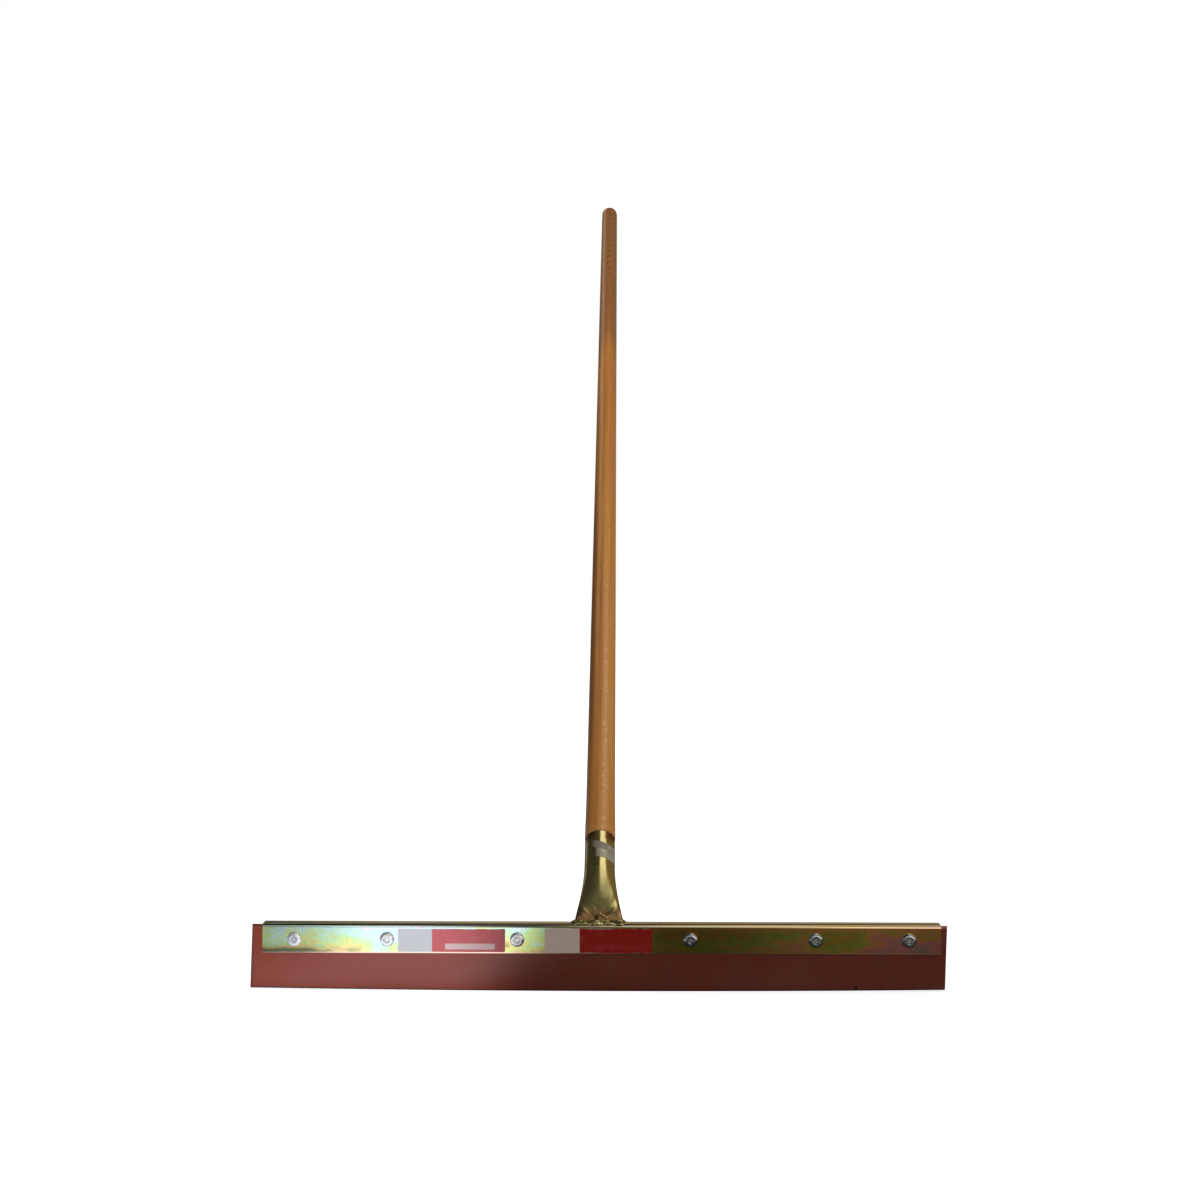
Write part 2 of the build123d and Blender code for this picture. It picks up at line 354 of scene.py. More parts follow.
# Socket: the same plating, drained to an even olive gold, browned by the weld's heat at the foot
socketLook = {
    "gold": [
        (0.30, (0.62, 0.54, 0.22)), (0.48, (0.80, 0.69, 0.31)), (0.60, (0.68, 0.62, 0.29)),
        (0.74, (0.84, 0.72, 0.36)),
    ],
    "heatHeight": 13.5 * mm, "heatColour": (0.40, 0.21, 0.10), "heatRough": 0.12,
    "pitShadeAt": (-4.2 * mm, 63.0 * mm), "pitShadeSize": 2.9 * mm, "pitShadeColour": (0.050, 0.026, 0.008),
    "rimReflectionColour": (0.27, 0.09, 0.03), "rimDrop": 11 * mm, "rimSide": 5.0 * mm, "rimShare": 0.85,
    "scratchColour": (0.82, 0.76, 0.52), "grainColour": (0.40, 0.32, 0.12),
}


def makeSocketFinish(look):
    material, tree, shader, place = newMaterial("socketGold", Metallic=1.0)
    x, z = axesOf(tree, place, "XZ")
    fromMouth = addNode(tree, "VectorMath", {0: place, 1: mouth}, operation="SUBTRACT").outputs[0]
    inputs = {0: fromMouth, 1: handleAxis}
    along = addNode(tree, "VectorMath", inputs, operation="DOT_PRODUCT").outputs["Value"]
    cloud = noiseOf(tree, place, (60, 60, 35), 4, 0.55, 0.8)
    grain = noiseOf(tree, place, 900, 2, 0.6)
    marks = useGroup(tree, handlingMarks, {"Vector": place, "Fineness": 1.4})
    foot = channelHigh.z
    # heat from the weld, and a dark spot of painted shade for a pit in the weld that isn't modelled
    wander = swayed(tree, z, cloud, look["heatHeight"])
    heat = between(tree, wander, foot + look["heatHeight"], foot + look["heatHeight"] * 0.45, 0.0, 0.9)
    colour = blendOf(tree, heat, rampOf(tree, cloud, look["gold"]), look["heatColour"])
    near = distanceTo(tree, x, z, look["pitShadeAt"])
    pitShade = between(tree, near, look["pitShadeSize"], look["pitShadeSize"] * 0.35, 0.0, 0.95)
    colour = blendOf(tree, pitShade, colour, look["pitShadeColour"])
    # painted reflection of the wood, below the rim either side of the front
    apart = calc(tree, "ABSOLUTE", calc(tree, "SUBTRACT", x, mouth.x))
    edge = swayed(tree, along, cloud, look["rimDrop"])
    rimReflection = times(
        tree, between(tree, edge, -look["rimDrop"], -look["rimDrop"] * 0.5),
        between(tree, apart, look["rimSide"] * 0.75, look["rimSide"] * 1.2), look["rimShare"],
    )
    colour = blendOf(tree, rimReflection, colour, look["rimReflectionColour"])
    colour = blendOf(tree, times(tree, marks["Scratch"], 0.2), colour, look["scratchColour"])
    colour = blendOf(tree, between(tree, grain, 0.56, 0.72, 0.0, 0.25), colour, look["grainColour"])
    # rougher where the weld's heat browned it and where the rim's painted reflection lies
    heatAndRimRough = times(tree, calc(tree, "MAXIMUM", heat, rimReflection), look["heatRough"])
    rough = between(tree, cloud, 0.3, 0.7, 0.13, 0.18)
    rough = calc(tree, "ADD", rough, times(tree, marks["Dust"], 0.06), heatAndRimRough)
    feed(tree, shader, Base_Color=colour, Roughness=rough, Normal=bumpOf(tree, grain, 0.04, 0.0002))
    return material


# Weld metal, plated over; the splashed ridge above the run is browned like the socket's foot
weldLook = {
    "gold": [
        (0.38, (0.20, 0.19, 0.07)), (0.50, (0.36, 0.34, 0.13)), (0.58, (0.78, 0.71, 0.42)),
        (0.68, (0.92, 0.86, 0.64)),
    ],
    "brownFrom": 2.2 * mm, "brownTo": 3.4 * mm, "brown": (0.62, 0.42, 0.25),
}


def makeWeldFinish(look):
    material, tree, shader, place = newMaterial("weldGold", Metallic=1.0)
    cloud = noiseOf(tree, place, (230, 260, 260), 3, 0.6)
    # mostly dark, with bright patches that are painted highlights
    gold = rampOf(tree, cloud, look["gold"])
    z = axesOf(tree, place, "Z")[0]
    browned = between(tree, z, channelHigh.z + look["brownFrom"], channelHigh.z + look["brownTo"])
    gold = blendOf(tree, browned, gold, look["brown"])
    rough = between(tree, cloud, 0.3, 0.7, 0.12, 0.20)
    feed(tree, shader, Base_Color=gold, Roughness=rough)
    return material


# Rubber: dull brick red with bloom, a painted shadow under the channel and painted shade in the nick, darker along
# the wiping edge and at the cut ends
rubberLook = {
    "base": [(0.30, (0.148, 0.020, 0.006)), (0.52, (0.160, 0.023, 0.007)), (0.72, (0.170, 0.027, 0.010))],
    "edgeHeight": 2.4 * mm, "edgeColour": (0.030, 0.009, 0.007), "bloomColour": (0.22, 0.085, 0.075),
    "bloomShare": 0.07, "shadowLineHeight": 1.3 * mm, "shadowLineFrom": -0.10, "shadowLineTo": 0.05, "endWidth": 1.4 * mm,
    "bow": 2.1 * mm, "nick": (223 * mm, 3.4 * mm), "nickSize": 1.7 * mm,
}


def makeRubberFinish(look):
    material, tree, shader, place = newMaterial("brickRubber", **{"Specular IOR Level": 0.62})
    x, z = axesOf(tree, place, "XZ")
    broad = noiseOf(tree, place, (9, 30, 40), 3, 0.55, 0.6)
    marks = useGroup(tree, handlingMarks, {"Vector": place, "Fineness": 0.45})
    bloom = times(tree, marks["Dust"], look["bloomShare"])
    colour = blendOf(tree, bloom, rampOf(tree, broad, look["base"]), look["bloomColour"])
    middle, half = (bladeLow.x + bladeHigh.x) / 2, (bladeHigh.x - bladeLow.x) / 2
    share = calc(tree, "DIVIDE", calc(tree, "SUBTRACT", x, middle), half)
    rise = calc(tree, "SUBTRACT", z, times(tree, share, share, look["bow"]))
    edge = between(tree, rise, look["edgeHeight"], 0.0, 0.0, 0.9)
    fromEnd = times(tree, calc(tree, "SUBTRACT", 1.0, calc(tree, "ABSOLUTE", share)), half)
    cutEnd = between(tree, fromEnd, look["endWidth"], 0.0, 0.0, 0.6)
    # a painted shadow just under the channel's lower edge, stronger to the right
    line = between(tree, z, channelLow.z - look["shadowLineHeight"], channelLow.z - look["shadowLineHeight"] * 0.4)
    covered = between(tree, calc(tree, "ABSOLUTE", x), channelHigh.x, channelHigh.x - 1 * mm)
    line = times(tree, line, covered, between(tree, x, look["shadowLineFrom"], look["shadowLineTo"], 0.25, 0.8))
    # painted shade in the nick
    near = distanceTo(tree, x, z, look["nick"])
    nick = between(tree, near, look["nickSize"] * 1.3, look["nickSize"] * 0.7)
    darkening = calc(tree, "MAXIMUM", edge, nick, cutEnd, line)
    colour = blendOf(tree, darkening, colour, look["edgeColour"])
    rough = between(tree, broad, 0.3, 0.7, 0.27, 0.34)
    grain = noiseOf(tree, place, 2200, 2, 0.6)
    feed(tree, shader, Base_Color=colour, Roughness=rough, Normal=bumpOf(tree, grain, 0.06, 0.0002))
    return material


# Bright rivets with knocks, with painted shade darkening those to the right, and the snapped pins inside them
rivetLook = {
    "tone": [(0.30, (0.44, 0.47, 0.50)), (0.55, (0.80, 0.83, 0.87)), (0.75, (0.66, 0.67, 0.69))],
    "rightShadeFrom": -0.05, "rightShadeTo": 0.05, "rightShadeShare": 0.85, "rightShadeTint": (0.46, 0.54, 0.61),
    "scratchColour": (0.20, 0.22, 0.25),
}
pinLook = {
    "tone": [(0.32, (0.36, 0.38, 0.40)), (0.55, (0.80, 0.82, 0.85)), (0.72, (0.94, 0.94, 0.95))],
}


def makeRivetFinish(look):
    material, tree, shader, place = newMaterial("rivetAlloy")
    x = axesOf(tree, place, "X")[0]
    marks = useGroup(tree, handlingMarks, {"Vector": place, "Fineness": 3.0})
    cloud = noiseOf(tree, place, 420, 3, 0.6, 0.6)
    tone = rampOf(tree, cloud, look["tone"])
    # painted shade: the rivets to the right are darkened and made bluer
    shadedRight = between(tree, x, look["rightShadeFrom"], look["rightShadeTo"], 0.0, look["rightShadeShare"])
    tone = blendOf(tree, shadedRight, tone, blendOf(tree, 1.0, tone, look["rightShadeTint"], "MULTIPLY"))
    colour = blendOf(tree, times(tree, marks["Scratch"], 0.5), tone, look["scratchColour"])
    rough = between(tree, cloud, 0.3, 0.7, 0.20, 0.34)
    rough = calc(tree, "SUBTRACT", rough, times(tree, shadedRight, 0.08))
    metal = between(tree, shadedRight, 0.0, look["rightShadeShare"], 0.8, 1.0)  # chalky with oxide where it is brightest
    normal = bumpOf(tree, cloud, 0.5, 0.0006)
    feed(tree, shader, Base_Color=colour, Metallic=metal, Roughness=rough, Normal=normal)
    return material


def makePinFinish(look):
    material, tree, shader, place = newMaterial("pinSteel", Metallic=1.0)
    cloud = noiseOf(tree, place, 900, 4, 0.7)
    tone = rampOf(tree, cloud, look["tone"])
    rough = between(tree, cloud, 0.3, 0.7, 0.18, 0.36)
    feed(tree, shader, Base_Color=tone, Roughness=rough, Normal=bumpOf(tree, cloud, 0.4, 0.0004))
    return material


# Varnished handle: long even grain, a browner grip end that starts in a point, arrow figure near the top
# Places named Along are metres from the socket's mouth, places named Side are across the handle
woodLook = {
    "timber": [
        (0.34, (0.34, 0.130, 0.022)), (0.46, (0.46, 0.185, 0.030)), (0.55, (0.51, 0.212, 0.038)),
        (0.68, (0.54, 0.255, 0.068)),
    ],
    "poreColour": (0.20, 0.080, 0.022), "orangeTint": (1.0, 0.93, 0.70), "orangeAlong": (0.25, 0.60),
    "heartColour": (0.27, 0.085, 0.015), "heartSide": (-6 * mm, -11 * mm), "heartAlong": (0.06, 0.16, 0.40, 0.60),
    "fleckColour": (0.72, 0.43, 0.17), "sheenFleckSide": (-1 * mm, 3 * mm, 5 * mm, 9 * mm), "sheenFleckAlong": (0.60, 0.40),
    "gripFrom": 0.965, "gripSlope": 4.6, "gripCentre": 3 * mm, "gripSoft": 48 * mm, "gripRagged": 0.06,
    "gripColour": (0.235, 0.092, 0.030), "gripHeart": (0.30, 0.105, 0.026), "gripHeartSide": (7 * mm, 2 * mm),
    "arrowColour": (0.10, 0.030, 0.008), "arrowStart": (1.02, 1.08), "arrowFrom": 1.10, "arrowTo": 1.24,
    "arrowPitch": 23 * mm, "arrowWide": 5 * mm, "arrowSlope": 3.2, "arrowRagged": 0.02,
    "ringZone": 14 * mm, "ringPitch": 2.2 * mm,
}


def makeHandleFinish(look):
    material, tree, shader, place = newMaterial("varnishedTimber", **{"Coat Roughness": 0.20})
    stick = addNode(tree, "VectorMath", {0: place, 1: mouth}, operation="SUBTRACT").outputs[0]
    stick = addNode(tree, "Mapping", {"Vector": stick, "Rotation": (handleLean, 0, 0)}).outputs[0]
    x, along = axesOf(tree, stick, "XZ")
    flow = noiseOf(tree, stick, (70, 70, 1.6), 3, 0.5, 0.3)
    grain = noiseOf(tree, stick, (420, 420, 7), 3, 0.6)
    fine = noiseOf(tree, stick, (1400, 1400, 40), 2, 0.5)
    fleck = noiseOf(tree, stick, (240, 240, 210), 3, 0.6)
    tone = calc(tree, "ADD", times(tree, flow, 0.55), times(tree, grain, 0.45))
    timber = rampOf(tree, tone, look["timber"])
    timber = blendOf(tree, between(tree, fine, 0.60, 0.76, 0.0, 0.35), timber, look["poreColour"])
    # deeper orange along the middle, a redder strip down the left, and pale flecks beside the centre that are
    # partly wood and partly a painted highlight
    orange = blendOf(tree, 1.0, timber, look["orangeTint"], "MULTIPLY")
    timber = blendOf(tree, within(tree, along, look["orangeAlong"]), timber, orange)
    heart = times(tree, within(tree, x, look["heartSide"]), within(tree, along, look["heartAlong"]), 0.75)
    timber = blendOf(tree, heart, timber, look["heartColour"])
    flecksAndSheen = times(
        tree, between(tree, fleck, 0.54, 0.66), within(tree, x, look["sheenFleckSide"]),
        within(tree, along, look["sheenFleckAlong"]), 0.42,
    )
    timber = blendOf(tree, flecksAndSheen, timber, look["fleckColour"])
    # the browner grip end
    aside = calc(tree, "ABSOLUTE", calc(tree, "SUBTRACT", x, look["gripCentre"]))
    point = calc(tree, "ADD", along, times(tree, aside, look["gripSlope"]))
    point = swayed(tree, point, grain, look["gripRagged"])
    grip = between(tree, point, look["gripFrom"] - look["gripSoft"], look["gripFrom"] + look["gripSoft"], 0.0, 0.8)
    middle = times(tree, within(tree, aside, look["gripHeartSide"]), between(tree, flow, 0.35, 0.60))
    timber = blendOf(tree, grip, timber, blendOf(tree, middle, look["gripColour"], look["gripHeart"]))
    # arrow figure where the grain runs out of the surface
    spread = calc(tree, "ABSOLUTE", x)
    climb = calc(tree, "ADD", along, times(tree, spread, look["arrowSlope"]))
    climb = swayed(tree, climb, fleck, look["arrowRagged"])
    wave = calc(tree, "SINE", times(tree, climb, 2 * math.pi / look["arrowPitch"]))
    arrow = times(
        tree, between(tree, wave, 0.2, 1.0), between(tree, spread, look["arrowWide"], look["arrowWide"] * 0.2),
        between(tree, along, look["arrowFrom"], look["arrowTo"], 0.3, 1.0),
        within(tree, along, look["arrowStart"]), between(tree, fleck, 0.36, 0.56, 0.35, 1.0), 0.95,
    )
    timber = blendOf(tree, arrow, timber, look["arrowColour"])
    # turned rings just above the shoulder
    turned = calc(tree, "SINE", times(tree, along, 2 * math.pi / look["ringPitch"]))
    turned = times(tree, between(tree, turned, 0.2, 1.0), between(tree, along, look["ringZone"], 0.0), 0.4)
    timber = blendOf(tree, turned, timber, look["fleckColour"])
    rough = between(tree, flow, 0.3, 0.7, 0.36, 0.46)
    varnish = noiseOf(tree, stick, (500, 500, 120), 3, 0.6)
    coat = between(tree, varnish, 0.35, 0.62, 0.20, 0.65)
    normal = bumpOf(tree, fine, 0.05, 0.0002)
    feed(tree, shader, Base_Color=timber, Roughness=rough, Coat_Weight=coat, Normal=normal)
    return material


def dress(names, material):
    for name in names:
        nodes[name].data.materials.clear()
        nodes[name].data.materials.append(material)


weldGold = makeWeldFinish(weldLook)
brickRubber = makeRubberFinish(rubberLook)
pins = [name for name in nodes if name.startswith("rivet_pin")]
rivets = [name for name in nodes if name.startswith("rivet_") and name not in pins]
dress(["frame_channel"], makeChannelFinish(channelLook))
dress(["handle_socket"], makeSocketFinish(socketLook))
dress(["weld_front", "weld_rear"], weldGold)
dress(["rubber_blade"], brickRubber)
dress(rivets, makeRivetFinish(rivetLook))
dress(pins, makePinFinish(pinLook))
dress(["handle"], makeHandleFinish(woodLook))
print("finishes on the CAD pieces")


# Modelling steps used by the pieces below
def mode(kind):
    bpy.ops.object.mode_set(mode=kind)


def shift(piece, test, move):
    mode("EDIT")
    bpy.ops.mesh.select_mode(type="VERT")
    bpy.ops.mesh.select_all(action="DESELECT")
    mode("OBJECT")
    for vertex in piece.data.vertices:
        vertex.select = test(vertex.co)
    mode("EDIT")
    bpy.ops.transform.translate(value=move)
    mode("OBJECT")


def cutAcross(place, facing):
    bpy.ops.mesh.select_all(action="SELECT")
    bpy.ops.mesh.bisect(plane_co=place, plane_no=facing)


def finishWith(piece, kind, **settings):
    made = piece.modifiers.new(kind.title(), kind)
    for name, value in settings.items():
        setattr(made, name, value)
    bpy.ops.object.modifier_apply(modifier=made.name)


def settle(piece, name, material):
    piece.name = name
    piece.data.materials.clear()
    piece.data.materials.append(material)
    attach(piece, "head")


# Rubber strip as it sits: its free edge bows down a little, its ends are knife-cut, and the front has a nick
stripLook = {
    "columns": 44, "rise": rubberLook["bow"], "askew": 1.8 * mm, "slant": 2.4 * mm, "endZone": 3 * mm,
    "corner": 0.15 * mm, "cornerAngle": 50, "nickSize": 1.5 * mm,
}


def makeStrip(look):
    middle = (bladeLow + bladeHigh) / 2
    size = bladeHigh - bladeLow
    bpy.ops.mesh.primitive_cube_add(size=1, location=middle)
    strip = bpy.context.object
    strip.scale = size
    bpy.ops.object.transform_apply(location=True, rotation=False, scale=True)
    places = [bladeLow.x + size.x * i / look["columns"] for i in range(look["columns"] + 1)]
    mode("EDIT")
    for place in places[1:-1]:
        cutAcross((place, 0, 0), (1, 0, 0))
    mode("OBJECT")
    for place in places:
        share = (place - middle.x) / (size.x / 2)
        aside = -look["askew"] if abs(share) > 0.99 else 0.0
        lowEdge = lambda co: abs(co.x - place) < touching and co.z < touching
        shift(strip, lowEdge, (aside, 0, look["rise"] * share ** 2))
    for end in (-1, 1):
        rearEnd = lambda co: (co.x - middle.x) * end > size.x / 2 - look["endZone"] and co.y > 0
        shift(strip, rearEnd, (end * look["slant"], 0, 0))
    finishWith(strip, "BEVEL", width=look["corner"], segments=2, angle_limit=math.radians(look["cornerAngle"]))
    nickX, nickZ = rubberLook["nick"]
    spot = (nickX, bladeLow.y, nickZ)
    bpy.ops.mesh.primitive_ico_sphere_add(subdivisions=3, radius=look["nickSize"], location=spot)
    cutter = bpy.context.object
    cutter.select_set(False)
    strip.select_set(True)
    bpy.context.view_layer.objects.active = strip
    finishWith(strip, "BOOLEAN", operation="DIFFERENCE", solver="EXACT", object=cutter)
    bpy.data.objects.remove(cutter)
    bpy.ops.object.shade_flat()
    settle(strip, "rubberStrip", brickRubber)
    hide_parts("rubber_blade")


makeStrip(stripLook)
print("rubber strip made")

# Weld runs: a smooth roll laid along the foot with a thinner one lapping up it, melted together
# Each tail is a row of lumps past the foot's end: how far out, how far in from the face, and how big
beadLook = {
    "seed": 11, "footHalfDepth": 3.1 * mm, "inset": 1.0 * mm, "pitch": 1.1 * mm, "knots": 12,
    "radius": 2.0 * mm, "swell": 0.28 * mm, "stand": 0.6 * mm, "wander": 0.3 * mm,
    "lapRise": 1.5 * mm, "lapRadius": 1.25 * mm, "lapSwell": 0.35 * mm, "lapStand": 0.3 * mm,
    "tail": ((0.0, 0.9, 2.4), (0.7, 1.5, 2.2), (1.4, 1.8, 1.9), (2.1, 1.7, 1.5), (2.7, 1.5, 1.1)),
    "splash": ((-1.0 * mm, 3.3 * mm, 66.7 * mm), (5.3 * mm, 0.9 * mm, 62.8 * mm)),
    "splashLump": 0.95 * mm, "splashSteps": 9, "voxel": 0.30 * mm, "smooth": 8,
}


# Uneven travel of the torch: random heights joined by a smooth curve
def unevenness(chance, knots):
    heights = [chance.uniform(-1, 1) for knot in range(knots + 1)]

    def at(share):
        knot = min(int(share * knots), knots - 1)
        part = share * knots - knot
        part = part * part * (3 - 2 * part)
        return heights[knot] * (1 - part) + heights[knot + 1] * part

    return at


def beadLumps(look, side, chance):
    depth = look["footHalfDepth"]
    reach = footHalf - look["inset"]
    steps = int(2 * reach / look["pitch"])
    back = side * look["lapRise"] * math.tan(handleLean)
    runs, laps = unevenness(chance, look["knots"]), unevenness(chance, look["knots"])
    lumps = []
    for step in range(steps + 1):
        share = step / steps
        x = -reach + 2 * reach * share
        out = depth + look["stand"] + look["wander"] * runs(share)
        lumps.append((x, out, 0.0, look["radius"] + look["swell"] * runs(share)))
        out = depth + back + look["lapStand"]
        lumps.append((x, out, look["lapRise"], look["lapRadius"] + look["lapSwell"] * laps(share)))
    for end in (-1, 1):
        for out, inward, size in look["tail"]:
            lumps.append((end * (footHalf + out * mm), depth - inward * mm, 0.0, size * mm))
    return [(footMiddle.x + x, footMiddle.y + side * y, footMiddle.z + z, size) for x, y, z, size in lumps]


def makeBead(look, name, side, replaced):
    chance = random.Random(look["seed"] + side)
    lumps = beadLumps(look, side, chance)
    if side < 0:
        start, end = Vector(look["splash"][0]), Vector(look["splash"][1])
        for step in range(look["splashSteps"] + 1):
            place = start.lerp(end, step / look["splashSteps"])
            lumps.append((*place, look["splashLump"] * chance.uniform(0.8, 1.2)))
    made = []
    for *place, size in lumps:
        bpy.ops.mesh.primitive_ico_sphere_add(subdivisions=2, radius=size, location=place)
        made.append(bpy.context.object)
    for piece in made:
        piece.select_set(True)
    bpy.context.view_layer.objects.active = made[0]
    bpy.ops.object.join()
    bead = bpy.context.object
    bpy.ops.object.transform_apply(location=True, rotation=True, scale=True)
    finishWith(bead, "REMESH", mode="VOXEL", voxel_size=look["voxel"])
    finishWith(bead, "SMOOTH", factor=0.5, iterations=look["smooth"])
    bpy.ops.object.shade_smooth()
    settle(bead, name, weldGold)
    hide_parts(replaced)


makeBead(beadLook, "weldRunFront", -1, "weld_front")
makeBead(beadLook, "weldRunRear", 1, "weld_rear")
print("weld runs made")

# Paper labels, printed plain: a pale panel, and a red panel with a bar
labelSet = [
    # the left label's paler, washed-out colours are partly painted sheen
    {
        "name": "labelLeft", "from": -178.2 * mm, "split": -148.3 * mm, "to": -84.1 * mm,
        "low": 34.6 * mm, "top": 54.8 * mm, "lift": 0.9 * mm,
        "pale": (0.46, 0.475, 0.525), "red": (0.45, 0.115, 0.130), "barColour": (0.55, 0.40, 0.42),
        "bar": (-137 * mm, -93 * mm, 36.6 * mm, 42.2 * mm),
    },
    {
        "name": "labelDark", "from": -49.3 * mm, "split": -18.7 * mm, "to": 44.9 * mm,
        "low": 34.1 * mm, "top": 55.4 * mm, "lift": 0.0,
        "pale": (0.62, 0.52, 0.46), "red": (0.30, 0.008, 0.004), "barColour": (0.33, 0.014, 0.010),
        "bar": (-12 * mm, 38 * mm, 36.4 * mm, 42.0 * mm),
    },
]
labelPaper = {
    "thick": 0.12 * mm, "gap": 0.02 * mm, "corner": 1.2 * mm, "seam": 0.5 * mm, "liftReach": 9 * mm,
    "folds": (1.0, 0.75, 0.5, 0.25), "foldEdge": 0.05 * mm, "wornShare": 0.82, "rimColour": (0.62, 0.58, 0.56),
}


def makeLabelFinish(look):
    material, tree, shader, place = newMaterial(look["name"], **{"Specular IOR Level": 0.12})
    x, z = axesOf(tree, place, "XZ")
    seam = labelPaper["seam"]
    onRed = between(tree, x, look["split"] - seam / 2, look["split"] + seam / 2)
    cloud = noiseOf(tree, place, (70, 70, 90), 4, 0.6, 0.5)
    left, right, low, top = look["bar"]
    onBar = times(
        tree, within(tree, x, (left, left + seam, right - seam, right)),
        within(tree, z, (low, low + seam, top - seam, top)),
    )
    colour = blendOf(tree, onRed, look["pale"], blendOf(tree, onBar, look["red"], look["barColour"]))
    worn = tuple(labelPaper["wornShare"] * value for value in look["pale"])
    colour = blendOf(tree, between(tree, cloud, 0.52, 0.74, 0.0, 0.08), colour, worn)
    topRim = between(tree, z, look["top"] - seam * 2, look["top"])
    lowRim = between(tree, z, look["low"] + seam, look["low"])
    rim = times(tree, calc(tree, "MAXIMUM", topRim, lowRim), between(tree, cloud, 0.45, 0.60), 0.6)
    colour = blendOf(tree, rim, colour, labelPaper["rimColour"])
    rough = between(tree, cloud, 0.3, 0.7, 0.38, 0.52)
    feed(tree, shader, Base_Color=colour, Roughness=rough, Normal=bumpOf(tree, cloud, 0.08, 0.0005))
    return material


def makeLabel(look):
    wide, high = look["to"] - look["from"], look["top"] - look["low"]
    face = frontFace - labelPaper["gap"] - labelPaper["thick"]
    centre = (look["from"] + wide / 2, face, look["low"] + high / 2)
    bpy.ops.mesh.primitive_plane_add(size=1, location=centre, rotation=(math.pi / 2, 0, 0))
    label = bpy.context.object
    label.scale = (wide, high, 1)
    bpy.ops.object.transform_apply(location=True, rotation=True, scale=True)
    mode("EDIT")
    bpy.ops.mesh.select_all(action="SELECT")
    bpy.ops.mesh.bevel(offset=labelPaper["corner"], segments=3, affect="VERTICES")
    corner = Vector((look["to"], face, look["top"]))
    diagonal = Vector((1, 0, 1)).normalized()
    folds = [corner - diagonal * labelPaper["liftReach"] * share for share in labelPaper["folds"]]
    for fold in folds:
        cutAcross(fold, diagonal)
    mode("OBJECT")
    for fold in folds:
        beyond = lambda co: (co - fold).dot(diagonal) > labelPaper["foldEdge"]
        shift(label, beyond, (0, -look["lift"] / len(folds), 0))
    finishWith(label, "SOLIDIFY", thickness=labelPaper["thick"], offset=-1)
    settle(label, look["name"], makeLabelFinish(look))


for look in labelSet:
    makeLabel(look)
print("labels made")

# Clear tape wound askew round the socket, a narrow lap over a wide one
# It is hazy over its reach in front and clear where it lies flat beyond
tapeSet = [
    {
        "name": "tapeUnder", "below": 21.3 * mm, "wide": 16.6 * mm, "slope": 0.17, "out": 0.10 * mm,
        "colour": (0.52, 0.50, 0.41), "alpha": 0.40, "reach": (-2.6 * mm, 20 * mm),
    },
    {
        "name": "tapeOver", "below": 16.0 * mm, "wide": 7.8 * mm, "slope": 0.29, "out": 0.22 * mm,
        "colour": (0.34, 0.30, 0.25), "alpha": 0.42, "reach": (-6.0 * mm, 6.5 * mm),
    },
]
tapeLook = {
    "tubeRadius": 14.0 * mm, "sides": 72, "thick": 0.06 * mm, "ragged": 0.22 * mm, "seed": 5,
    "hazeFade": 2 * mm, "darkShare": 0.7, "smoothAngle": 40,
}


def makeTapeFinish(look):
    material, tree, shader, place = newMaterial(look["name"])
    x = axesOf(tree, place, "X")[0]
    cloud = noiseOf(tree, place, (160, 160, 160), 4, 0.6, 0.4)
    dark = tuple(tapeLook["darkShare"] * value for value in look["colour"])
    colour = blendOf(tree, between(tree, cloud, 0.40, 0.66), look["colour"], dark)
    rough = between(tree, cloud, 0.3, 0.7, 0.26, 0.38)
    left, right = (mouth.x + reach for reach in look["reach"])
    fade = tapeLook["hazeFade"]
    haze = within(tree, x, (left - fade, left + fade, right - fade, right + fade))
    alpha = times(tree, haze, look["alpha"], between(tree, cloud, 0.3, 0.7, 0.85, 1.15))
    normal = bumpOf(tree, cloud, 0.2, 0.0006)
    feed(tree, shader, Base_Color=colour, Roughness=rough, Alpha=alpha, Normal=normal)
    return material


def makeTape(look):
    radius, sides = tapeLook["tubeRadius"] + look["out"], tapeLook["sides"]
    bpy.ops.mesh.primitive_cylinder_add(
        vertices=sides, radius=radius, depth=look["wide"], end_fill_type="NOTHING",
    )
    tape = bpy.context.object
    chance = random.Random(tapeLook["seed"])
    for side in range(sides):
        turn = 2 * math.pi * side / sides
        spot = Vector((math.sin(turn) * radius, math.cos(turn) * radius, 0))
        drop = -spot.x * look["slope"] + chance.uniform(-1, 1) * tapeLook["ragged"]
        shift(tape, lambda co: (co.xy - spot.xy).length < touching, (0, 0, drop))
    tape.rotation_euler = (-handleLean, 0, 0)
    tape.location = mouth - handleAxis * look["below"]
    bpy.ops.object.transform_apply(location=True, rotation=True, scale=True)
    finishWith(tape, "SOLIDIFY", thickness=tapeLook["thick"], offset=1)
    bpy.ops.object.shade_smooth_by_angle(angle=math.radians(tapeLook["smoothAngle"]))
    settle(tape, look["name"], makeTapeFinish(look))


for look in tapeSet:
    makeTape(look)
print("tape made")


def newBareMaterial(name):
    material, tree, shader, place = newMaterial(name)
    tree.nodes.remove(shader)
    return material, tree, place, tree.nodes["Material Output"].inputs["Surface"]


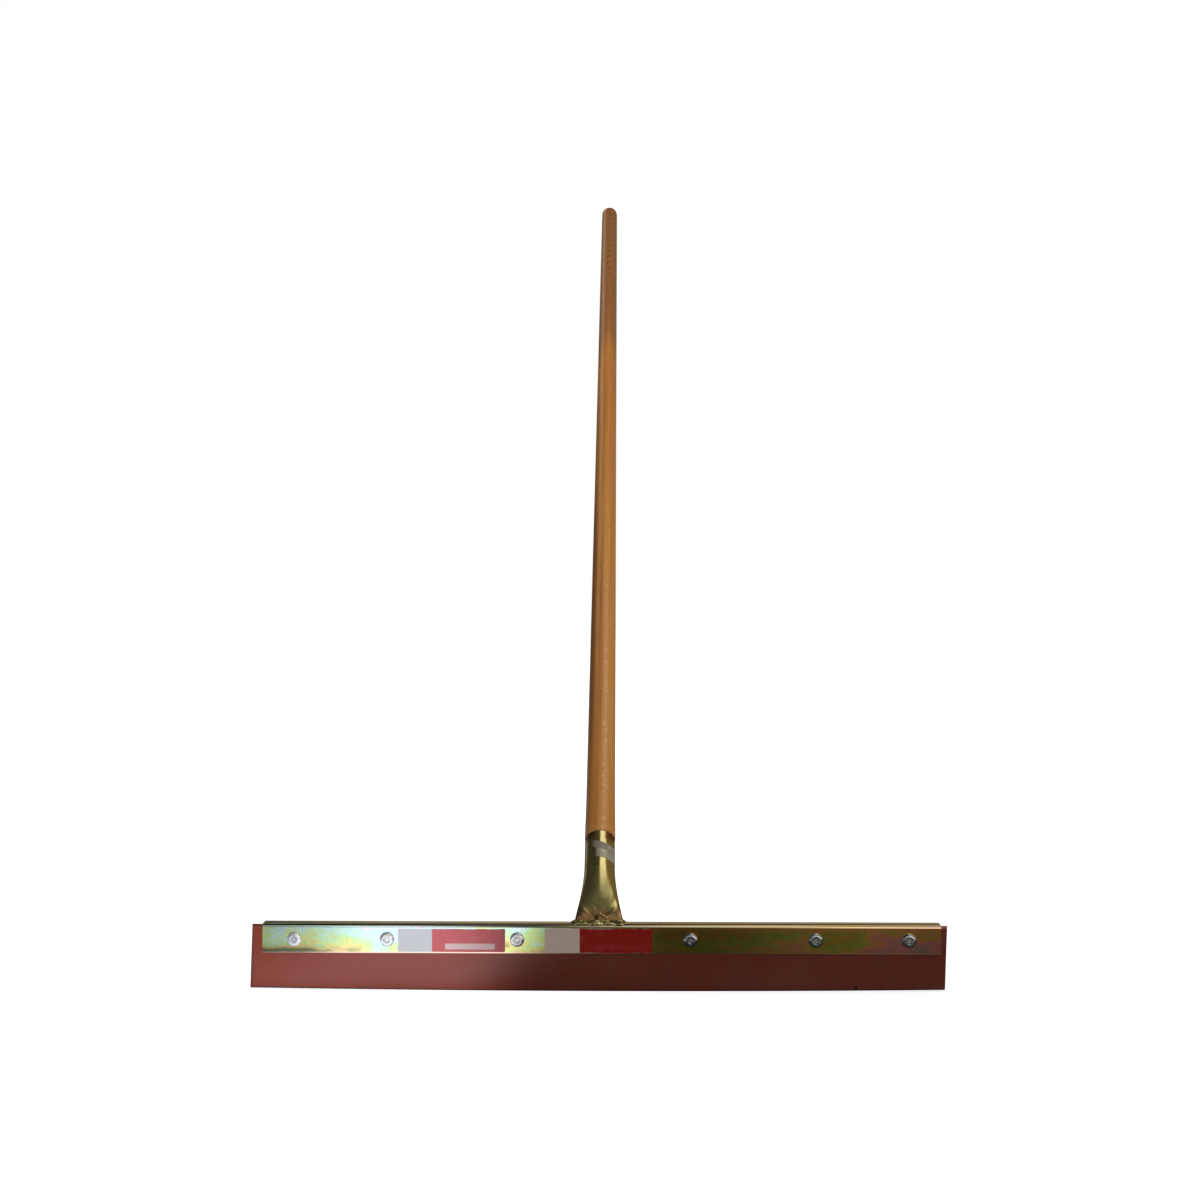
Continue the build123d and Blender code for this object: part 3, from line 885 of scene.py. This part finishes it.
# Floor: white to the camera, with the object's shadow kept near it
# In reflections it is bright in front at the left and falls off to the right and behind
floorLook = {
    "half": 6.0, "shadeFrom": 0.35, "shadeTo": 0.75, "white": 0.84, "tone": 0.5, "mirrorStrength": 1.6,
    "sideHalf": 0.40, "slantY": (-0.115, -0.01), "slant": 0.030,
    "side": greys((0.06, 0.30), (0.10, 0.40), (0.145, 0.56), (0.19, 0.88)) + [
        (0.375, (0.90, 0.90, 0.87)), (0.40, (0.60, 0.59, 0.53)), (0.43, (0.24, 0.23, 0.19)),
        (0.48, (0.10, 0.095, 0.075)), (0.57, (0.040, 0.038, 0.030)), (0.66, (0.046, 0.043, 0.034)),
        (0.75, (0.084, 0.077, 0.062)), (0.86, (0.108, 0.090, 0.072)), (0.94, (0.076, 0.068, 0.058)),
    ],
    "nearY": (-0.70, -0.45), "frontY": (0.02, -0.05),
    "shade": (0.02, 0.02, 0.015), "shadeX": (-0.245, -0.30), "shadeY": (-0.142, -0.116, -0.113, -0.100),
    "shadeShare": 0.9, "closeY": (-0.113, -0.100), "blue": (0.0, 0.02, 0.14), "blueX": (-0.02, -0.12),
    "dim": (0.0, 0.0, 0.0), "dimX": (-0.12, -0.05), "dimShare": 0.7,
    "behind": (0.05, 0.045, 0.036), "rear": (0.46, 0.44, 0.38), "rearY": (0.02, 0.05, 0.19, 0.25),
}


def makeFloor(look):
    bpy.ops.mesh.primitive_plane_add(size=look["half"] * 2)
    floor = bpy.context.object
    floor.name = "floor"
    material, tree, place, surface = newBareMaterial("paleFloor")
    x, y = axesOf(tree, place, "XY")
    ray = addNode(tree, "LightPath").outputs
    away = addNode(tree, "VectorMath", {0: place}, operation="LENGTH").outputs["Value"]
    white = between(tree, away, look["shadeFrom"], look["shadeTo"], look["white"], 1.0)
    lit = addNode(tree, "BsdfDiffuse", {"Color": (look["tone"],) * 3 + (1.0,)}).outputs[0]
    glow = addNode(tree, "Emission", {"Strength": white}).outputs[0]
    both = addNode(tree, "AddShader", {0: lit, 1: glow}).outputs[0]
    seen = calc(tree, "MAXIMUM", ray["Is Camera Ray"], ray["Is Transmission Ray"])
    plain = addNode(tree, "MixShader", {0: seen, 1: lit, 2: both}).outputs[0]
    slanted = calc(tree, "ADD", x, between(tree, y, *look["slantY"], 0.0, look["slant"]))
    across = between(tree, slanted, -look["sideHalf"], look["sideHalf"], way="LINEAR")
    side = rampOf(tree, across, look["side"])
    # shaded where the channel's lower left sees it
    shaded = times(tree, within(tree, x, look["shadeX"]), within(tree, y, look["shadeY"]), look["shadeShare"])
    side = blendOf(tree, shaded, side, look["shade"])
    # the rubber sees it nearer, bluer at the left and dimmer at the right
    close = within(tree, y, look["closeY"])
    blue = times(tree, close, within(tree, x, look["blueX"]))
    side = blendOf(tree, blue, side, look["blue"], "ADD")
    dim = times(tree, close, within(tree, x, look["dimX"]), look["dimShare"])
    side = blendOf(tree, dim, side, look["dim"])
    # what the channel's rear face sees
    behind = blendOf(tree, within(tree, y, look["rearY"]), look["behind"], look["rear"])
    front = times(tree, within(tree, y, look["frontY"]), within(tree, y, look["nearY"]))
    mirrored = blendOf(tree, front, behind, side)
    mirror = addNode(tree, "Emission", {"Color": mirrored, "Strength": look["mirrorStrength"]}).outputs[0]
    mixed = addNode(tree, "MixShader", {0: ray["Is Glossy Ray"], 1: plain, 2: mirror}).outputs[0]
    tree.links.new(mixed, surface)
    floor.data.materials.append(material)


# World: white to the camera; as light it falls off from right to left
worldLook = {
    "light": [(0.12, (0.20, 0.20, 0.20)), (0.50, (0.46, 0.45, 0.43)), (0.88, (0.64, 0.62, 0.58))],
    "white": (1.0, 1.0, 1.0),
}


def makeWorld(look):
    world = bpy.data.worlds.new("studio")
    bpy.context.scene.world = world
    world.use_nodes = True
    tree = world.node_tree
    ray = addNode(tree, "LightPath").outputs
    seen = calc(tree, "MAXIMUM", ray["Is Camera Ray"], ray["Is Glossy Ray"], ray["Is Transmission Ray"])
    x = axesOf(tree, addNode(tree, "TexCoord").outputs["Generated"], "X")[0]
    soft = rampOf(tree, between(tree, x, -1, 1, way="LINEAR"), look["light"])
    shade = blendOf(tree, seen, soft, look["white"])
    tree.links.new(shade, tree.nodes["Background"].inputs["Color"])


# Dim room that only reflections see: patches painted one over the other, then windows behind the camera
# Each patch says where it fades in and out; overX and overY are places on the ceiling as seen from the object
surroundLook = {
    "radius": 4.5, "nearest": 0.3, "toneHalf": 3, "cornerSlope": 0.9,
    "tone": [(0.15, (0.045, 0.043, 0.036)), (0.5, (0.085, 0.080, 0.062)), (0.85, (0.17, 0.125, 0.062))],
    "patches": [
        # back wall
        {"colour": (0.34, 0.28, 0.18), "x": (-1.7, -0.9, 1.4, 2.4), "y": (0.8, 2.8), "z": (3.2, 1.6)},
        # low strip at the far left
        {"colour": (0.26, 0.28, 0.28), "x": (-1.8, -2.4), "y": (1.4, 2.2), "z": (1.1, 0.5)},
        # dark ceiling in front
        {
            "colour": (0.102, 0.110, 0.072), "overX": (-0.35, 0.10, 0.45, 0.80),
            "overY": (-1.9, -1.3, -0.4, -0.12),
        },
        # faint panel to the left
        {"colour": (0.90, 0.77, 0.58), "overX": (-0.85, -0.58, -0.42, -0.26), "overY": (0.34, 0.48, 0.95, 1.5)},
        # bright panel to the right, dimmer towards the front
        {
            "colour": (1.12, 1.06, 0.96), "overX": (0.0, 0.09, 0.60, 0.86), "overY": (0.40, 0.22),
            "corner": (1.05, 0.70), "graded": (-0.82, -0.20),
        },
        # warm wall at the far right
        {"colour": (0.60, 0.54, 0.36), "overX": (0.60, 0.95, 2.0, 2.6), "overY": (-1.2, -0.8, -0.35, -0.12)},
    ],
    "windowSpan": 0.40, "windowStrength": 2.2, "windowY": (-0.8, -1.6), "windowRise": (0.01, 0.08, 0.60, 0.80),
    "tallerFrom": -0.05, "tallerTo": -0.20, "taller": 1.35,
    "windows": greys(
        (0.03, 0.12), (0.11, 0.29), (0.16, 0.68), (0.25, 0.55), (0.31, 0.18), (0.39, 0.03),
    ) + [
        (0.46, (0.20, 0.18, 0.15)), (0.57, (0.30, 0.28, 0.23)), (0.71, (0.44, 0.40, 0.31)),
        (0.80, (0.58, 0.51, 0.41)), (0.88, (0.94, 0.80, 0.73)),
    ],
}


def makeSurround(look):
    bpy.ops.mesh.primitive_uv_sphere_add(segments=48, ring_count=24, radius=look["radius"])
    surround = bpy.context.object
    surround.name = "dimSurround"
    for ray in ("camera", "diffuse", "transmission", "volume_scatter", "shadow"):
        setattr(surround, "visible_" + ray, False)
    material, tree, place, surface = newBareMaterial("dimSurround")
    x, y, z = axesOf(tree, place)
    height = calc(tree, "MAXIMUM", z, look["nearest"])
    overX, overY = calc(tree, "DIVIDE", x, height), calc(tree, "DIVIDE", y, height)
    corner = calc(tree, "SUBTRACT", overX, times(tree, overY, look["cornerSlope"]))
    measures = {"x": x, "y": y, "z": z, "overX": overX, "overY": overY, "corner": corner}
    tone = rampOf(tree, between(tree, x, -look["toneHalf"], look["toneHalf"], way="LINEAR"), look["tone"])
    for patch in look["patches"]:
        masks = [within(tree, value, patch[name]) for name, value in measures.items() if name in patch]
        if "graded" in patch:
            masks.append(between(tree, overY, *patch["graded"], way="LINEAR"))
        tone = blendOf(tree, times(tree, *masks), tone, patch["colour"])
    # the windows are brightest to the left, where they are taller too, with a gap before the right-hand ones
    depth = calc(tree, "MAXIMUM", times(tree, y, -1.0), look["nearest"])
    across, rise = calc(tree, "DIVIDE", x, depth), calc(tree, "DIVIDE", z, depth)
    span = between(tree, across, -look["windowSpan"], look["windowSpan"], way="LINEAR")
    light = rampOf(tree, span, look["windows"])
    light = blendOf(tree, 1.0, light, (look["windowStrength"],) * 3, "MULTIPLY")
    taller = between(tree, across, look["tallerFrom"], look["tallerTo"], 1.0, look["taller"])
    rise = calc(tree, "DIVIDE", rise, taller)
    window = times(tree, within(tree, y, look["windowY"]), within(tree, rise, look["windowRise"]))
    tone = blendOf(tree, window, tone, light)
    glow = addNode(tree, "Emission", {"Color": tone, "Strength": 1.0}).outputs[0]
    tree.links.new(glow, surface)
    surround.data.materials.append(material)


# Lamps, hidden from reflections because the room above takes that part
lampSet = [
    {
        "name": "overheadRight", "place": (1.05, 0.30, 2.7), "aim": (0.0, 0.15, 0.2), "size": 0.9, "spread": 60.0,
        "power": 3.4, "colour": (1.0, 0.97, 0.92),
    },
    {
        "name": "overheadLeft", "place": (-0.8, 0.8, 2.3), "aim": (0.0, 1.0, 1.0), "size": 0.6, "spread": 60.0,
        "power": 1.5, "colour": (1.0, 0.98, 0.95),
    },
]
spotLook = {
    "name": "frontLeft", "place": (-0.42, -2.2, 0.35), "aim": (-0.455, 0.0, 0.03), "angle": 19.0, "blend": 0.16,
    "power": 168, "soft": 0.04,
}


def hang(light, look):
    light.energy = look["power"]
    made = bpy.data.objects.new(look["name"], light)
    bpy.context.scene.collection.objects.link(made)
    made.location = look["place"]
    made.visible_glossy = False
    made.rotation_euler = (Vector(look["aim"]) - made.location).to_track_quat("-Z", "Y").to_euler()


def makeLamps():
    for look in lampSet:
        light = bpy.data.lights.new(look["name"], "AREA")
        light.size = look["size"]
        light.spread = math.radians(look["spread"])
        light.color = look["colour"]
        hang(light, look)
    light = bpy.data.lights.new(spotLook["name"], "SPOT")
    light.spot_size = math.radians(spotLook["angle"])
    light.spot_blend = spotLook["blend"]
    light.shadow_soft_size = spotLook["soft"]
    hang(light, spotLook)


# Camera, level and square to the squeegee but for a slight turn
cameraLook = {
    "place": (0.015457, -1.035847, 0.359548), "yaw": -0.00948, "roll": 0.00034, "lens": 35.2639,
    "sensor": 36.0, "shift": (-0.00632, -0.01534), "nearest": 0.01,
}


def makeCamera(look):
    data = bpy.data.cameras.new("camera")
    data.lens = look["lens"]
    data.sensor_width = look["sensor"]
    data.shift_x, data.shift_y = look["shift"]
    data.clip_start = look["nearest"]
    camera = bpy.data.objects.new("camera", data)
    bpy.context.scene.collection.objects.link(camera)
    turn = Matrix.Rotation(-look["yaw"], 4, "Z")
    level = Matrix.Rotation(math.pi / 2, 4, "X")
    roll = Matrix.Rotation(look["roll"], 4, "Z")
    camera.matrix_world = Matrix.Translation(look["place"]) @ turn @ level @ roll
    bpy.context.scene.camera = camera


makeFloor(floorLook)
makeWorld(worldLook)
makeSurround(surroundLook)
makeLamps()
makeCamera(cameraLook)
bpy.context.scene.view_settings.view_transform = "Standard"
print("stage, lamps and camera set")
